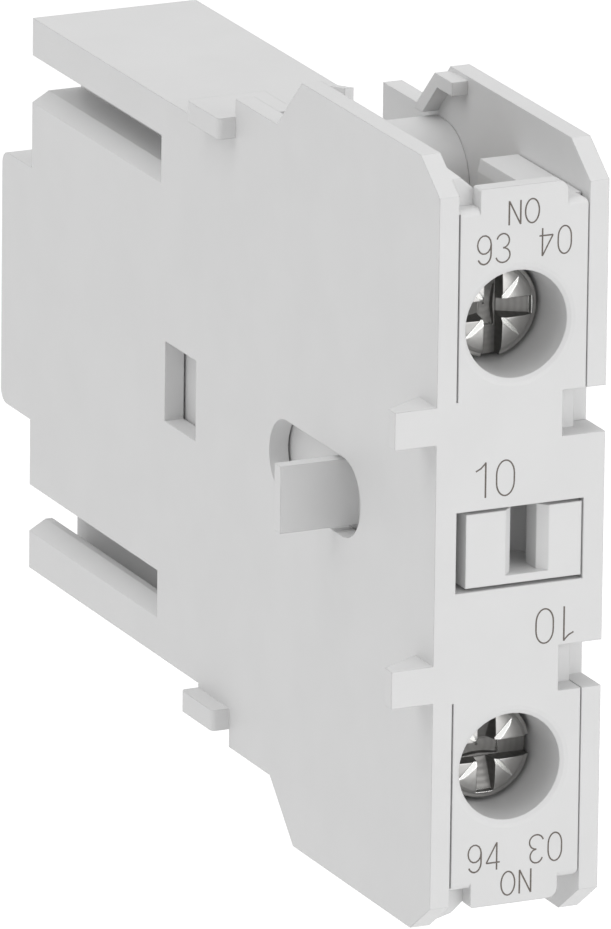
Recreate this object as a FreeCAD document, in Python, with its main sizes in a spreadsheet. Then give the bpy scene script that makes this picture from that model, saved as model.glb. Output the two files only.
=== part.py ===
import FreeCAD, Part
import math
import os
import Sketcher
import types

# Auxiliary contact block, millimetres. X runs across the block, Y towards the
# device behind it, Z up. The origin is the middle of the rear seat, and the
# front face lies bodyDepth in front of it. Top and bottom mirror each other.
# A size in the sheet is a step to the next wall or part, and the places that
# follow from several steps are worked out below the sheet.

SIZES = [
    ("bodyWidth", 10.0, "over both side walls"),
    ("wall", 1.15, "left side wall"),
    ("coverWall", 1.13, "right side cover"),
    ("shell", 1.2, "top, bottom and rear walls"),
    ("seam", 0.08, "gap between the mouldings"),
    ("chamberSeam", 0.02, "chamber wall to the cover"),
    ("slideFit", 0.1, "carrier to its guide channel"),
    ("beamHalf", 3.0, "carrier's half height"),
    ("channelWall", 1.1, "guide channel's wall"),
    ("shelfSpan", 4.4, "guide channel to the shelf's top"),
    ("shelfThick", 1.2, "shelf's thickness"),
    ("screwRise", 3.83, "shelf to the terminal screw"),
    ("towerRise", 6.67, "terminal screw to the tower's top"),
    ("labelRise", 1.07, "label tab above the tower"),
    ("plateRise", 1.54, "side walls above the label tab"),
    ("ribRise", 0.93, "wire rib at the side wall, above the label tab"),
    ("chamferRun", 2.43, "front corner, along the depth"),
    ("chamferDrop", 1.78, "front corner, down the front"),
    ("noseHalf", 7.37, "half height of the rear nose"),
    ("noseRun", 4.1, "nose beyond the rear seat"),
    ("noseCorner", 0.8, "nose corner radius"),
    ("grooveRise", 3.83, "nose to the groove"),
    ("grooveHigh", 2.73, "groove's height at its mouth"),
    ("ledgeRise", 2.17, "ledge over the groove"),
    ("railRise", 1.45, "side rail over the ledge"),
    ("shoulderRise", 1.02, "shoulder over the side rail"),
    ("webHalf", 2.03, "half width of the web between the grooves"),
    ("lipWidth", 1.4, "lip along the ledge"),
    ("bevelWidth", 1.0, "bevel into the groove, across"),
    ("bevelRise", 0.58, "bevel into the groove, up"),
    ("grooveFloor", 1.5, "wall under the groove"),
    ("nubLength", 2.1, "wedge on the right ledge, along the depth"),
    ("nubHigh", 0.4, "wedge on the right ledge, height"),
    ("nubWide", 0.55, "wedge on the right ledge, width"),
    ("plateSpan", 2.7, "chamber wall to the tall part's end"),
    ("shoulderSpan", 5.41, "shoulder, along the depth"),
    ("railSpan", 4.15, "side rail, along the depth"),
    ("railThick", 1.2, "side rail"),
    ("railOut", 1.05, "side rail beyond the left face"),
    ("railWidth", 3.64, "side rail's root, in from the left face"),
    ("railRound", 0.3, "side rail's outer corners"),
    ("coverSpan", 2.0, "side rail to the cover's end"),
    ("coverDrop", 0.35, "cover's rear part below the ledge"),
    ("grooveSpan", 3.6, "cover's end to the grooves"),
    ("grooveLong", 17.55, "grooves, to the rear seat"),
    ("rimWidth", 0.94, "rim inside the cover"),
    ("rimThick", 0.77, "rim's thickness"),
    ("rimDrop", 0.26, "rim below the cover's edge"),
    ("rimSpan", 0.5, "chamber wall to the rim"),
    ("frontWall", 2.3, "front wall"),
    ("middleHalf", 5.87, "half height of the full-width front"),
    ("neckRise", 2.58, "tower's root over the full-width front"),
    ("notchLeft", 2.45, "notch for the next block's tab, from the middle"),
    ("notchDepth", 1.4, "notch behind the front face"),
    ("slit", 0.1, "slit beside each tower"),
    ("slitDepth", 1.6, "slit behind the front face"),
    ("slitDrop", 0.2, "slit's end below the tower's top"),
    ("towerEdge", 0.4, "round along the tower's outer edge"),
    ("labelWide", 5.18, "label tab's width"),
    ("labelThick", 0.95, "label tab's thickness"),
    ("labelRound", 0.6, "label tab's right corner"),
    ("labelEdge", 0.15, "label tab's left corner"),
    ("tabRise", 0.33, "coupling tab over the full-width front"),
    ("tabDrop", 0.15, "coupling tab below the tower's root"),
    ("tabOut", 2.45, "coupling tab beyond the left face"),
    ("tabThin", 0.87, "coupling tab's thickness at its tip"),
    ("tabThick", 2.28, "coupling tab's thickness at its root"),
    ("guideWide", 2.4, "wire guide block's width"),
    ("guideRun", 8.8, "front face to the guide block's end"),
    ("guideDeep", 2.5, "guide block's height"),
    ("guideBand", 0.7, "guide block's leaning band, height"),
    ("guideLean", 0.15, "guide block's leaning band, across"),
    ("screwX", -0.32, "terminal screws, from the middle"),
    ("screwRecess", 3.0, "screw head behind the front face"),
    ("boreRadius", 3.0, "screwdriver bore"),
    ("mouthWide", 0.45, "bevel at the bore's mouth, outwards"),
    ("mouthDeep", 0.15, "bevel at the bore's mouth, along the bore"),
    ("boreWall", 0.6, "tube round the bore"),
    ("boreStop", 0.3, "bore's end before the clamp plate"),
    ("windowLeft", 3.75, "indicator window, left of the middle"),
    ("windowRight", 3.8, "indicator window, right of the middle"),
    ("windowHalf", 2.27, "indicator window's half height"),
    ("webRun", 9.0, "front face to the shelf's web"),
    ("partitionDrop", 0.02, "chamber wall below the shoulder"),
    ("partitionRadius", 3.2, "chamber wall's round"),
    ("partitionThick", 1.3, "chamber wall's thickness"),
    ("slotFront", 9.46, "front face to the side slot"),
    ("slotLength", 11.82, "side slot's length"),
    ("slotRadius", 2.23, "side slot's half height and end radius"),
    ("hatchLength", 4.12, "square side opening's length"),
    ("hatchHalf", 2.3, "square side opening's half height"),
    ("postGap", 0.8, "return spring's seat to the foot"),
    ("pegRadius", 0.97, "cover pegs"),
    ("pegFit", 0.03, "cover peg's clearance in its boss"),
    ("pegLength", 4.6, "cover pegs"),
    ("bossWall", 0.8, "boss round a cover peg"),
    ("rearPegSpan", 8.5, "chamber wall to the rear pegs"),
    ("rearPegRise", 3.6, "shelf to the rear pegs"),
    ("frontPegSpan", 1.5, "front pegs to the chamber wall"),
    ("carrierRecess", 0.08, "carrier's front behind the front face"),
    ("headGapLeft", 0.62, "carrier's head inside the window, left"),
    ("headGapRight", 0.08, "carrier's head inside the window, right"),
    ("headGap", 0.2, "carrier's head inside the window, above and below"),
    ("headRun", 6.0, "front face to the head's end"),
    ("keyLeft", 0.28, "head's slot, left of the middle"),
    ("keyRight", 1.28, "head's slot, right of the middle"),
    ("keyFloor", 1.6, "head's slot, below the middle"),
    ("keyNeck", 1.76, "head's slot, depth of its narrow part"),
    ("keyDeep", 4.2, "head's slot, whole depth"),
    ("keyWider", 0.72, "pocket behind the slot, wider on each side"),
    ("keyRound", 1.0, "pocket behind the slot, rear corners"),
    ("keyBevel", 0.51, "bevels on the slot's front edges"),
    ("beamSide", 0.13, "carrier to the side walls"),
    ("cheek", 1.0, "carrier's cheeks"),
    ("footLength", 3.3, "carrier's foot"),
    ("footStop", 0.15, "carrier's foot before the rear seat"),
    ("footGroove", 1.5, "driver groove across the foot"),
    ("footLip", 0.9, "foot behind the driver groove"),
    ("footKeep", 1.35, "foot under the driver groove"),
    ("lugSpan", 2.94, "side slot's front end to the side lug"),
    ("lugThick", 0.8, "side lug's thickness"),
    ("lugOut", 3.4, "side lug beyond the left face"),
    ("lugGap", 0.33, "side lug to the slot's edges"),
    ("stripThick", 0.8, "fixed contact strip"),
    ("stripSide", 1.32, "fixed contact strip to the side walls, together"),
    ("stripRise", 2.97, "terminal plate beyond the screw"),
    ("stripSpan", 14.1, "chamber wall to the contact arm"),
    ("stripPast", 1.6, "contact arm beyond its tip"),
    ("bendInner", 0.4, "bend's inner radius"),
    ("holeFit", 0.05, "screw's clearance in its thread holes"),
    ("tipRadius", 1.1, "contact tips"),
    ("tipFlat", 0.66, "contact tip's flat face, radius"),
    ("tipThick", 0.6, "contact tips"),
    ("tipCrown", 0.15, "contact tip's crown"),
    ("tipInset", 1.3, "contact tip from the bridge's end"),
    ("contactGap", 2.63, "open gap between the tips"),
    ("bridgeThick", 0.8, "contact bridge"),
    ("bridgeSide", 0.2, "contact bridge inside the carrier's cheeks"),
    ("bridgeGap", 0.3, "contact bridge's ends to the shelves"),
    ("bridgePlay", 0.03, "bridge to its stop"),
    ("shelfBack", 1.87, "shelf's end before the bridge"),
    ("contactLength", 5.97, "contact spring, fitted"),
    ("contactSide", 0.82, "contact spring to the carrier's cheeks"),
    ("contactWire", 0.4, "contact spring wire"),
    ("contactTurns", 3.5, "contact spring's turns"),
    ("returnLength", 10.0, "return spring, fitted"),
    ("returnSide", 0.495, "return spring to the carrier's cheeks"),
    ("returnWire", 0.45, "return spring wire"),
    ("returnTurns", 5.0, "return spring's turns"),
    ("bossHeight", 1.6, "spring boss on the carrier"),
    ("springPlay", 0.15, "spring boss inside its spring"),
    ("headFit", 0.25, "screw head inside the bore"),
    ("headHeight", 2.0, "screw head"),
    ("headCrown", 0.45, "screw head's domed part"),
    ("crownSlope", 0.16, "screw head's dome, first step down"),
    ("crownFlat", 1.7, "screw head's flat face, radius"),
    ("crownShoulder", 2.48, "screw head's dome, radius at the first step"),
    ("shankRadius", 1.75, "screw shank"),
    ("shankTail", 0.2, "screw shank beyond the nut"),
    ("shankTip", 0.4, "screw shank's end bevel"),
    ("crossWide", 0.9, "driver cross, slot width"),
    ("crossLong", 4.0, "driver cross, slot length"),
    ("crossDeep", 1.2, "driver cross, depth"),
    ("washerInset", 0.05, "spring washer inside the screw head's rim"),
    ("washerThick", 0.6, "spring washer"),
    ("washerCut", 0.5, "spring washer's split"),
    ("clampThick", 0.9, "clamp plate"),
    ("clampSide", 0.1, "clamp plate inside the strip's width, each side"),
    ("clampHigh", 5.7, "clamp plate's height"),
    ("clampGroove", 0.35, "wire grooves in the clamp plate"),
    ("clampOpen", 2.7, "clamp plate to the terminal plate, open"),
    ("nutThick", 2.2, "square nut"),
    ("nutFit", 0.03, "square nut to the strip's bend"),
    ("nutSpace", 2.7, "square nut to the chamber wall"),
]


class Size:
    """A length that keeps its sheet expression beside its value."""

    def __init__(self, value, text):
        self.value = float(value)
        self.text = text

    def __add__(self, other):
        other = asSize(other)
        return Size(self.value + other.value, "(%s + %s)" % (self.text, other.text))

    def __sub__(self, other):
        other = asSize(other)
        return Size(self.value - other.value, "(%s - %s)" % (self.text, other.text))

    def __mul__(self, factor):
        return Size(self.value * factor, "(%s * %s)" % (self.text, repr(factor)))

    def __neg__(self):
        return Size(-self.value, "(-1 * %s)" % self.text)

    __rmul__ = __mul__

    def __radd__(self, other):
        return asSize(other) + self

    def __rsub__(self, other):
        return asSize(other) - self


def asSize(number):
    if isinstance(number, Size):
        return number
    return Size(number, repr(float(number)))


doc = FreeCAD.newDocument("AuxiliaryContactBlock")
sheet = doc.addObject("Spreadsheet::Sheet", "Sizes")
sheet.set("A1", "size")
sheet.set("B1", "mm")
sheet.set("C1", "what it is")
named = {}
for row, (alias, value, note) in enumerate(SIZES, start=2):
    sheet.set("A%d" % row, alias)
    sheet.set("B%d" % row, str(value))
    sheet.set("C%d" % row, note)
    sheet.setAlias("B%d" % row, alias)
    named[alias] = Size(value, "Sizes.%s" % alias)
doc.recompute()


s = types.SimpleNamespace(**named)

# Heights from the middle, outwards from the carrier.
s.channelHalf = s.beamHalf + s.slideFit
s.channelTop = s.channelHalf + s.channelWall
s.shelfTop = s.channelTop + s.shelfSpan
s.screwZ = s.shelfTop + s.screwRise
s.towerHalf = s.screwZ + s.towerRise
s.labelHalf = s.towerHalf + s.labelRise
s.plateHalf = s.labelHalf + s.plateRise
s.grooveInner = s.noseHalf + s.grooveRise
s.grooveOuter = s.grooveInner + s.grooveHigh
s.ledgeHalf = s.grooveOuter + s.ledgeRise
s.railHalf = s.ledgeHalf + s.railRise
s.shoulderHalf = s.railHalf + s.shoulderRise
s.partitionTop = s.shoulderHalf - s.partitionDrop
s.coverRearHalf = s.ledgeHalf - s.coverDrop
s.neckHalf = s.middleHalf + s.neckRise
s.bridgeHalf = s.shelfTop - s.bridgeGap
s.tipZ = s.bridgeHalf - s.tipInset
s.stripLow = s.tipZ - s.stripPast
s.nutSide = (s.screwRise - s.stripThick - s.bendInner - s.nutFit) * 2
s.headHalf = s.windowHalf - s.headGap
s.lugHalf = s.slotRadius - s.lugGap
s.rearPegZ = s.shelfTop + s.rearPegRise
s.frontPegZ = (s.channelTop + s.shelfTop - s.shelfThick) * 0.5

# Depths behind the front face, along the terminal and then the contacts.
s.washerRun = s.screwRecess + s.headHeight
s.clampRun = s.washerRun + s.washerThick
s.boreRun = s.clampRun - s.boreStop
s.stripRun = s.clampRun + s.clampThick + s.clampOpen
s.nutRun = s.stripRun + s.stripThick
s.shankLength = s.nutRun + s.nutThick + s.shankTail - s.washerRun
s.partitionRun = s.nutRun + s.nutThick + s.nutSpace
s.rimFront = s.partitionRun + s.rimSpan
s.plateRun = s.partitionRun + s.plateSpan
s.shoulderRun = s.plateRun + (s.plateHalf - s.shoulderHalf) + s.shoulderSpan
s.railRun = s.shoulderRun + s.railSpan
s.coverRun = s.railRun + s.coverSpan
s.grooveFront = s.coverRun + s.grooveSpan
s.bodyDepth = s.grooveFront + s.grooveLong
s.stripEnd = s.partitionRun + s.stripSpan
s.bridgeRun = s.stripEnd - s.tipThick * 2 - s.contactGap - s.bridgeThick
s.bridgeWindowRun = s.bridgeRun - s.contactLength
s.shelfRun = s.bridgeRun - s.shelfBack
s.hatchFront = s.stripEnd + s.stripThick + s.shell
s.slotRear = s.slotFront + s.slotLength
s.lugRun = s.slotFront + s.lugSpan
s.rearPegRun = s.partitionRun + s.rearPegSpan
s.frontPegRun = s.partitionRun - s.frontPegSpan
s.footRun = s.bodyDepth - s.footStop - s.footLength
s.postRun = s.footRun - s.postGap - s.shell
s.forkRun = s.postRun - s.returnLength

# Widths.
s.beamWide = s.bodyWidth - (s.wall + s.beamSide) * 2
s.bridgeWide = s.beamWide - (s.cheek + s.bridgeSide) * 2
s.contactCoil = s.beamWide * 0.5 - s.cheek - s.contactSide - s.contactWire * 0.5
s.returnCoil = s.beamWide * 0.5 - s.cheek - s.returnSide - s.returnWire * 0.5
s.stripWide = s.bodyWidth - s.wall - s.coverWall - s.stripSide
s.clampWide = s.stripWide - s.clampSide * 2
s.headRadius = s.boreRadius - s.headFit
s.washerRadius = s.headRadius - s.washerInset
print(len(SIZES), "sizes in the sheet")


def bind(feature, **lengths):
    """Sets each property and ties it to the sheet."""
    for name, length in lengths.items():
        length = asSize(length)
        setattr(feature, name, length.value)
        feature.setExpression(name, length.text)


def place(feature, x, y, z, rotation=None):
    """Puts a feature at a point worked out from the sheet."""
    x, y, z = asSize(x), asSize(y), asSize(z)
    turned = rotation or FreeCAD.Rotation()
    feature.Placement = FreeCAD.Placement(FreeCAD.Vector(x.value, y.value, z.value), turned)
    feature.setExpression("Placement.Base.x", x.text)
    feature.setExpression("Placement.Base.y", y.text)
    feature.setExpression("Placement.Base.z", z.text)


def newBody(label):
    body = doc.addObject("PartDesign::Body", label)
    body.Label = label
    body.AllowCompound = True
    return body


def joined(label, members):
    """One moulding made of the bodies that were built for its regions."""
    whole = doc.addObject("Part::MultiFuse", label)
    whole.Label = label
    whole.Shapes = members
    whole.Refine = True
    return whole


def block(body, name, x, y, z, cut=False):
    """Adds or cuts a box that spans the three pairs of limits."""
    kind = "PartDesign::SubtractiveBox" if cut else "PartDesign::AdditiveBox"
    box = body.newObject(kind, name)
    bind(box, Length=asSize(x[1]) - x[0], Width=asSize(y[1]) - y[0], Height=asSize(z[1]) - z[0])
    place(box, x[0], y[0], z[0])
    return box


TOWARDS_BACK = FreeCAD.Rotation(FreeCAD.Vector(1, 0, 0), -90)
TOWARDS_RIGHT = FreeCAD.Rotation(FreeCAD.Vector(0, 1, 0), 90)


def rod(body, name, centre, radius, length, turned=TOWARDS_BACK, cut=False):
    """Adds or cuts a cylinder that starts at a centre and runs back or right."""
    kind = "PartDesign::SubtractiveCylinder" if cut else "PartDesign::AdditiveCylinder"
    cylinder = body.newObject(kind, name)
    bind(cylinder, Radius=radius, Height=length)
    place(cylinder, centre[0], centre[1], centre[2], turned)
    return cylinder


PLANES = {"YZ": ("YZ_Plane", 1), "XY": ("XY_Plane", 1), "XZ": ("XZ_Plane", -1)}


def sketchOn(body, name, plane, offset, slide=None):
    """A sketch on one of the body's own planes, moved along its normal."""
    role, sign = PLANES[plane]
    sketch = body.newObject("Sketcher::SketchObject", name)
    for feature in body.Origin.OriginFeatures:
        if feature.Role == role:
            sketch.AttachmentSupport = [(feature, "")]
    sketch.MapMode = "FlatFace"
    shift = list(slide or (0, 0)) + [asSize(offset) * sign]
    for axis, length in zip("xyz", shift):
        sketch.setExpression("AttachmentOffset.Base.%s" % axis, asSize(length).text)
    values = [asSize(length).value for length in shift]
    sketch.AttachmentOffset = FreeCAD.Placement(FreeCAD.Vector(*values), FreeCAD.Rotation())
    return sketch


def rounded(outline):
    """Turns an outline's corners into lines and arcs: (start, end, arc)."""
    count = len(outline)
    corners = []
    for i, corner in enumerate(outline):
        u, v = asSize(corner[0]), asSize(corner[1])
        if len(corner) == 2:
            corners.append(((u, v), (u, v), None))
            continue
        radius = asSize(corner[2])
        before, after = outline[i - 1], outline[(i + 1) % count]
        ends = []
        for other in (before, after):
            du = asSize(other[0]).value - u.value
            dv = asSize(other[1]).value - v.value
            along = (1 if du > 0 else -1, 0) if abs(du) > abs(dv) else (0, 1 if dv > 0 else -1)
            ends.append(along)
        first = (u + radius * ends[0][0], v + radius * ends[0][1])
        last = (u + radius * ends[1][0], v + radius * ends[1][1])
        centre = (u + radius * (ends[0][0] + ends[1][0]), v + radius * (ends[0][1] + ends[1][1]))
        corners.append((first, last, (centre, radius)))
    return corners


def point(pair):
    return FreeCAD.Vector(pair[0].value, pair[1].value, 0)


def arcBetween(start, end, centre, radius):
    """The short arc from start to end, and which of its ends is the start."""
    middle = point(centre)
    angles = [math.atan2((point(p) - middle).y, (point(p) - middle).x) for p in (start, end)]
    turn = (angles[1] - angles[0]) % (2 * math.pi)
    circle = Part.Circle(middle, FreeCAD.Vector(0, 0, 1), radius.value)
    if turn < math.pi:
        return Part.ArcOfCircle(circle, angles[0], angles[0] + turn), 1
    turn = 2 * math.pi - turn
    return Part.ArcOfCircle(circle, angles[1], angles[1] + turn), 2


def pin(sketch, edge, end, pair):
    """Fixes one end of an edge at a place from the sheet."""
    for kind, length in (("DistanceX", pair[0]), ("DistanceY", pair[1])):
        number = sketch.addConstraint(Sketcher.Constraint(kind, -1, 1, edge, end, length.value))
        sketch.setExpression("Constraints[%d]" % number, length.text)


def draw(sketch, outline):
    """Draws a closed outline whose corners are (u, v) or (u, v, radius)."""
    corners = rounded(outline)
    ends = []
    for i, (first, last, arc) in enumerate(corners):
        if arc:
            curve, startEnd = arcBetween(first, last, arc[0], arc[1])
            edge = sketch.addGeometry(curve)
            pin(sketch, edge, startEnd, first)
            pin(sketch, edge, 3 - startEnd, last)
            number = sketch.addConstraint(Sketcher.Constraint("Radius", edge, arc[1].value))
            sketch.setExpression("Constraints[%d]" % number, arc[1].text)
            ends.append((edge, startEnd, edge, 3 - startEnd))
        else:
            ends.append(None)
    lines = []
    for i, (first, last, arc) in enumerate(corners):
        after = corners[(i + 1) % len(corners)][0]
        edge = sketch.addGeometry(Part.LineSegment(point(last), point(after)))
        lines.append(edge)
        if not arc:
            pin(sketch, edge, 1, last)
    for i in range(len(corners)):
        follow = (i + 1) % len(corners)
        if ends[i]:
            sketch.addConstraint(Sketcher.Constraint("Coincident", ends[i][2], ends[i][3], lines[i], 1))
        if ends[follow]:
            target = (ends[follow][0], ends[follow][1])
        else:
            target = (lines[follow], 1)
        sketch.addConstraint(Sketcher.Constraint("Coincident", lines[i], 2, target[0], target[1]))


def slab(body, name, plane, outline, limits, cut=False):
    """Adds or cuts an outline drawn on a plane, between two limits."""
    start, end = asSize(limits[0]), asSize(limits[1])
    sketch = sketchOn(body, name + "Sketch", plane, start)
    draw(sketch, outline)
    feature = body.newObject("PartDesign::Pocket" if cut else "PartDesign::Pad", name)
    feature.Profile = sketch
    feature.Type = 0
    bind(feature, Length=end - start)
    backwards = plane == "XZ"
    feature.Reversed = backwards != cut
    return feature


def turned(body, name, centre, outline, cut=False):
    """Adds or cuts a half outline (radius, distance back) turned about an axis along Y."""
    sketch = sketchOn(body, name + "Sketch", "XY", centre[2], (centre[0], centre[1]))
    draw(sketch, outline)
    feature = body.newObject("PartDesign::Groove" if cut else "PartDesign::Revolution", name)
    feature.Profile = sketch
    feature.ReferenceAxis = (sketch, ["V_Axis"])
    feature.Angle = 360
    return feature


def both(low, high, side):
    """The limits low to high on the upper side, mirrored on the lower side."""
    if side > 0:
        return (asSize(low), asSize(high))
    return (-asSize(high), -asSize(low))


def edgeCutter(u, v, hands, radius):
    """The outline that rounds an outer corner, whose free sides are told by hands."""
    across, up = hands
    return [(u - radius * (2 * across), v), (u, v, radius), (u, v - radius * (2 * up)),
            (u + radius * across, v - radius * (2 * up)), (u + radius * across, v + radius * up),
            (u - radius * (2 * across), v + radius * up)]


def mirrored(outline, side):
    """An outline with its heights turned over on the lower side."""
    return [(corner[0], corner[1] * side) + tuple(corner[2:]) for corner in outline]


def front(distance):
    """A place that is measured back from the front face."""
    return asSize(distance) - s.bodyDepth


LEFT = s.bodyWidth * -0.5
RIGHT = s.bodyWidth * 0.5
INSIDE_LEFT = LEFT + s.wall
INSIDE_RIGHT = RIGHT - s.coverWall
FIT_RIGHT = INSIDE_RIGHT - s.seam
PAST = 1.0
WIRE_SIDES = 5
SIDES = ((1, "upper"), (-1, "lower"))


def wallOutline():
    """The left wall seen from the side, upper half then lower half."""
    upper = [
        (front(0), s.plateHalf - s.chamferDrop),
        (front(s.chamferRun), s.plateHalf),
        (front(s.plateRun), s.plateHalf),
        (front(s.plateRun) + (s.plateHalf - s.shoulderHalf), s.shoulderHalf),
        (front(s.shoulderRun), s.shoulderHalf),
        (front(s.shoulderRun), s.railHalf),
        (front(s.railRun), s.railHalf),
        (front(s.railRun), s.ledgeHalf),
        (asSize(0), s.ledgeHalf),
        (asSize(0), s.grooveOuter),
        (front(s.grooveFront), s.grooveOuter),
        (front(s.grooveFront), s.grooveInner),
        (asSize(0), s.grooveInner),
        (asSize(0), s.noseHalf),
        (s.noseRun, s.noseHalf, s.noseCorner),
    ]
    return upper + mirrored(reversed(upper), -1)


def ledgeSection(side):
    """The grooved rail behind: ledge, two lips, web and the wall below."""
    flat = s.lipWidth
    bevel = s.bevelWidth
    half = s.bodyWidth * 0.5
    ceiling = s.ledgeHalf - s.shell
    right = [
        (half, s.ledgeHalf),
        (half, s.grooveOuter),
        (half - bevel, s.grooveOuter - s.bevelRise),
        (half - flat, s.grooveOuter - s.bevelRise),
        (half - flat, ceiling),
        (s.webHalf, ceiling),
        (s.webHalf, s.grooveInner + s.bevelRise),
        (half - bevel, s.grooveInner + s.bevelRise),
        (half, s.grooveInner),
        (half, s.grooveInner - s.grooveFloor),
    ]
    left = [(-u, v) for u, v in reversed(right)]
    return mirrored(right + left, side)


def chamberOutline(side):
    """The contact chamber's front wall, rounded towards the wire entry."""
    run = s.partitionRun
    outer = s.partitionRadius
    inner = s.partitionRadius - s.partitionThick
    low = s.shelfTop + s.stripThick
    top = s.partitionTop
    rear = front(run) + outer + s.shell
    outline = [
        (front(run), low),
        (front(run), top, outer),
        (rear, top),
        (rear, top - s.partitionThick),
        (front(run) + s.partitionThick, top - s.partitionThick, inner),
        (front(run) + s.partitionThick, low),
    ]
    return mirrored(outline, side)


def buildLeftWall():
    """The left wall with its side slot, its square opening and the coupling tabs."""
    body = newBody("left_wall_region")
    slab(body, "leftWall", "YZ", wallOutline(), (LEFT, INSIDE_LEFT))
    for side, word in SIDES:
        couplingTab(body, side, word)
    slotStart = front(s.slotFront) + s.slotRadius
    slotStop = front(s.slotRear) - s.slotRadius
    block(body, "sideSlot", (LEFT - PAST, INSIDE_LEFT), (slotStart, slotStop), (-s.slotRadius, s.slotRadius),
          cut=True)
    for centre, name in ((slotStart, "slotFrontEnd"), (slotStop, "slotRearEnd")):
        rod(body, name, (LEFT - PAST, centre, 0), s.slotRadius, s.wall + PAST, TOWARDS_RIGHT, cut=True)
    block(body, "sideHatch", (LEFT - PAST, INSIDE_LEFT),
          (front(s.hatchFront), front(s.hatchFront) + s.hatchLength), (-s.hatchHalf, s.hatchHalf), cut=True)
    return body


def buildRear():
    """The grooved rails, the nose and the walls between them."""
    body = newBody("rear_region")
    rearRun = front(s.coverRun) + s.seam
    for side, word in SIDES:
        slab(body, word + "Rail", "XZ", ledgeSection(side), (front(s.grooveFront), 0))
        block(body, word + "Ledge", (INSIDE_LEFT, FIT_RIGHT), (front(s.partitionRun) + s.partitionThick,
              front(s.grooveFront)), both(s.ledgeHalf - s.shell, s.ledgeHalf, side))
        block(body, word + "GrooveEnd", (INSIDE_LEFT, RIGHT),
              (front(s.grooveFront) - s.shell, front(s.grooveFront)),
              both(s.grooveInner - s.grooveFloor, s.ledgeHalf, side))
        railEnd = LEFT - s.railOut
        rail = [(railEnd, front(s.shoulderRun), s.railRound), (LEFT + s.railWidth, front(s.shoulderRun)),
                (LEFT + s.railWidth, front(s.railRun)), (railEnd, front(s.railRun), s.railRound)]
        slab(body, word + "SideRail", "XY", rail, both(s.railHalf - s.railThick, s.railHalf, side))
        block(body, word + "RailRoot", (INSIDE_LEFT, LEFT + s.railWidth),
              (front(s.shoulderRun), front(s.railRun)), both(s.ledgeHalf, s.railHalf, side))
        nub = [(rearRun, s.ledgeHalf - s.nubHigh), (rearRun, s.ledgeHalf + s.nubHigh),
               (rearRun + s.nubLength, s.ledgeHalf), (rearRun + s.nubLength, s.ledgeHalf - s.nubHigh)]
        slab(body, word + "Nub", "YZ", mirrored(nub, side), (RIGHT - s.nubWide, RIGHT))
    block(body, "rightWallRear", (INSIDE_RIGHT, RIGHT), (rearRun, 0), (-s.grooveInner, s.grooveInner))
    block(body, "rightWallMiddle", (FIT_RIGHT, RIGHT), (rearRun, front(s.grooveFront)),
          (-s.ledgeHalf, s.ledgeHalf))
    block(body, "rearWall", (INSIDE_LEFT, INSIDE_RIGHT), (-s.shell, 0), (-s.grooveInner, s.grooveInner))
    nose = [
        (-s.shell, -s.noseHalf), (s.noseRun, -s.noseHalf, s.noseCorner),
        (s.noseRun, s.noseHalf, s.noseCorner), (-s.shell, s.noseHalf),
    ]
    slab(body, "nose", "YZ", nose, (INSIDE_LEFT, RIGHT))
    noseInside = s.noseHalf - s.shell
    block(body, "noseOpening", (INSIDE_LEFT, INSIDE_RIGHT), (-s.shell * 2, s.noseRun + PAST),
          (-noseInside, noseInside), cut=True)
    postHalf = (s.bridgeWide - s.bridgeSide) * 0.5
    block(body, "springPost", (-postHalf, postHalf),
          (front(s.postRun), front(s.postRun) + s.shell), (-s.grooveInner, s.grooveInner))
    return body


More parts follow.
